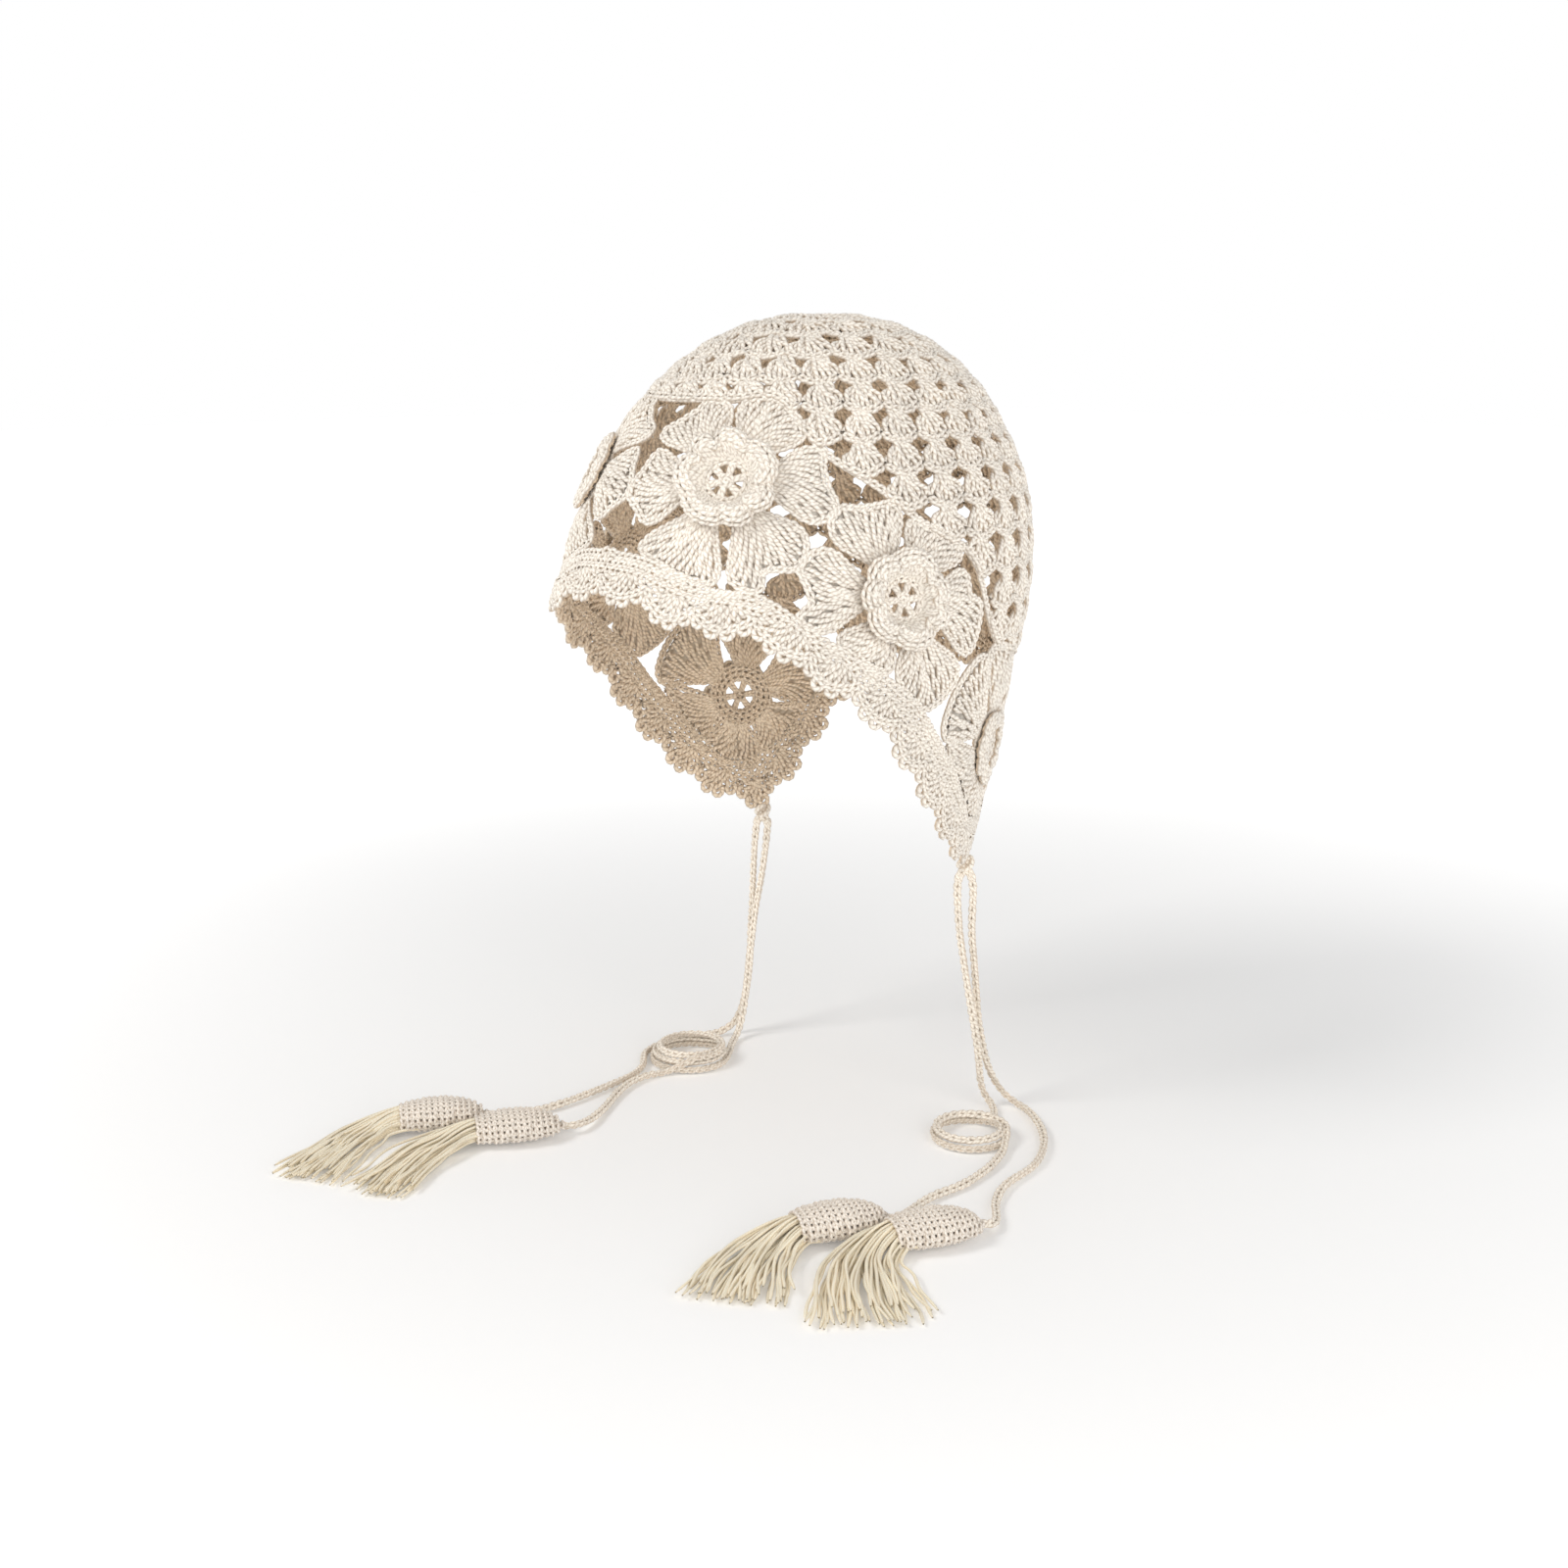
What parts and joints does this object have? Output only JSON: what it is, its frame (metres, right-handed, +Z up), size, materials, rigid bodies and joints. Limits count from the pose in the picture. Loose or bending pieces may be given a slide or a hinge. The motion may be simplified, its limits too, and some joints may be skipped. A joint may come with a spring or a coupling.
{
  "type": "crochet beanie",
  "caption": "Crocheted ear-flap beanie: openwork crown of fan stitches, an arch of petalled flower motifs round the face, scalloped edging, and tasselled cord ties.",
  "frame": {"origin": "top of the wearer's head: the inside of the crown at its highest point", "axes": "+Z up; the face looks along -Y; +X towards the wearer's left"},
  "size_m": [0.2654, 0.3145, 0.3247],
  "materials": {
    "cotton": "matt crocheted cotton",
    "fringe_cotton": "straight cotton strands with a slight sheen",
    "cap_cotton": "matt close crochet"
  },
  "bodies": {
    "root": {"crown": "cotton", "edging": "cotton", "flower_brow_left": "cotton", "flower_brow_right": "cotton", "flower_temple_left": "cotton", "flower_temple_right": "cotton", "flower_flap_left": "cotton", "flower_flap_right": "cotton", "rosette_brow_left": "cotton", "rosette_brow_right": "cotton", "rosette_temple_left": "cotton", "rosette_temple_right": "cotton", "rosette_flap_left": "cotton", "rosette_flap_right": "cotton", "knot_left": "cotton", "knot_right": "cotton", "hang_left_inner": "cotton", "hang_left_outer": "cotton", "hang_right_inner": "cotton", "hang_right_outer": "cotton", "coil_left": "cotton", "coil_right": "cotton", "tail_left_inner": "cotton", "tail_left_outer": "cotton", "tail_right_inner": "cotton", "tail_right_outer": "cotton", "cap_left_inner": "cap_cotton", "cap_left_outer": "cap_cotton", "cap_right_inner": "cap_cotton", "cap_right_outer": "cap_cotton", "fringe_left_inner": "fringe_cotton", "fringe_left_outer": "fringe_cotton", "fringe_right_inner": "fringe_cotton", "fringe_right_outer": "fringe_cotton"}
  },
  "joints": []
}
